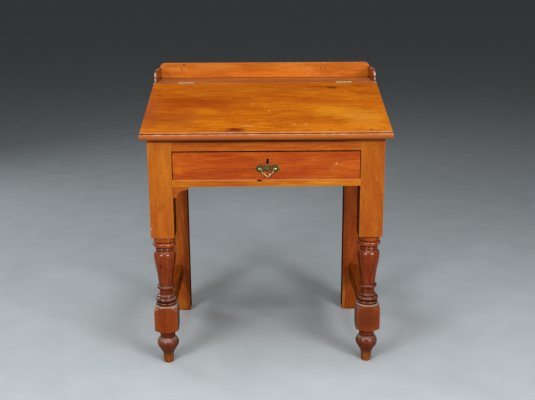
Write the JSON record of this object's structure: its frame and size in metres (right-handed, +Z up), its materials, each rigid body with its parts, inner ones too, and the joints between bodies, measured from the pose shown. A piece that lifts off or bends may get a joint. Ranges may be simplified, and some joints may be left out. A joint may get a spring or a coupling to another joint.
{
  "type": "standing desk",
  "caption": "Standing writing desk: hinged sloping lid over a shallow box, low gallery behind, a drawer with a drop handle, turned front legs and plain rear posts.",
  "frame": {"origin": "on the floor, at the middle of the area the desk covers", "axes": "+X to the right across the front, +Y from the front to the back, +Z up"},
  "size_m": [0.9, 0.65, 1.096],
  "materials": {
    "lid_wood": "worn shellac on reddish honey-brown wood, grain across the desk",
    "top_wood": "duller red-brown shellac",
    "gallery_wood": "bright orange-brown shellac with small dents",
    "front_leg_wood": "orange-brown square, deep red-brown glossy turnings",
    "rear_leg_wood": "darker red-brown shellac",
    "frame_wood": "orange-brown shellac",
    "rail_wood": "golden-brown shellac, edges worn pale",
    "stretcher_wood": "dark red-brown sides, brighter top edge",
    "drawer_front_wood": "red-orange shellac with a rippled figure",
    "inner_wood": "bare aged softwood",
    "handle_brass": "aged olive brass, bright where it is handled",
    "hinge_metal": "dull pale steel",
    "lock_iron": "dark browned iron"
  },
  "bodies": {
    "carcass": {"top_board": "top_wood", "gallery_back": "gallery_wood", "gallery_left_end": "gallery_wood", "gallery_right_end": "gallery_wood", "front_left_leg": "front_leg_wood", "front_right_leg": "front_leg_wood", "rear_left_leg": "rear_leg_wood", "rear_right_leg": "rear_leg_wood", "front_top_rail": "frame_wood", "left_side_panel": "frame_wood", "right_side_panel": "frame_wood", "back_panel": "frame_wood", "drawer_rail": "rail_wood", "rail_bracket": "rail_wood", "left_stretcher": "stretcher_wood", "right_stretcher": "stretcher_wood", "well_floor": "inner_wood", "left_drawer_runner": "inner_wood", "right_drawer_runner": "inner_wood", "left_drawer_guide": "inner_wood", "right_drawer_guide": "inner_wood", "drawer_stops": "inner_wood", "fixed_leaf_screws": "hinge_metal", "left_hinge_fixed_leaf": "hinge_metal", "left_hinge_pin": "hinge_metal", "right_hinge_fixed_leaf": "hinge_metal", "right_hinge_pin": "hinge_metal"},
    "lid": {"lid": "lid_wood", "lid_leaf_screws": "hinge_metal", "left_hinge_lid_leaf": "hinge_metal", "right_hinge_lid_leaf": "hinge_metal"},
    "drawer": {"drawer_front": "drawer_front_wood", "drawer_left_side": "inner_wood", "drawer_right_side": "inner_wood", "drawer_back": "inner_wood", "drawer_bottom": "inner_wood", "drawer_bottom_nails": "lock_iron", "lock_case": "lock_iron", "lock_screws": "lock_iron", "pull_backplate": "handle_brass", "pull_posts": "handle_brass", "pull_nuts": "handle_brass"},
    "bail": {"pull_bail": "handle_brass"},
    "bolt": {"lock_bolt": "lock_iron"}
  },
  "joints": [
    {"name": "lid_hinge", "type": "hinge", "parent": "carcass", "child": "lid", "pos_m": [0, 0.127, 1.0325], "axis": [-1, 0, 0], "range_deg": [0, 126]},
    {"name": "drawer_slide", "type": "slide", "parent": "carcass", "child": "drawer", "axis": [0, -1, 0], "range_m": [0, 0.4]},
    {"name": "bail_swing", "type": "hinge", "parent": "drawer", "child": "bail", "pos_m": [0.004, -0.302, 0.77379], "axis": [-1, 0, 0], "range_deg": [0, 100]},
    {"name": "bolt_throw", "type": "slide", "parent": "drawer", "child": "bolt", "axis": [0, 0, 1], "range_m": [0, 0.008]}
  ]
}
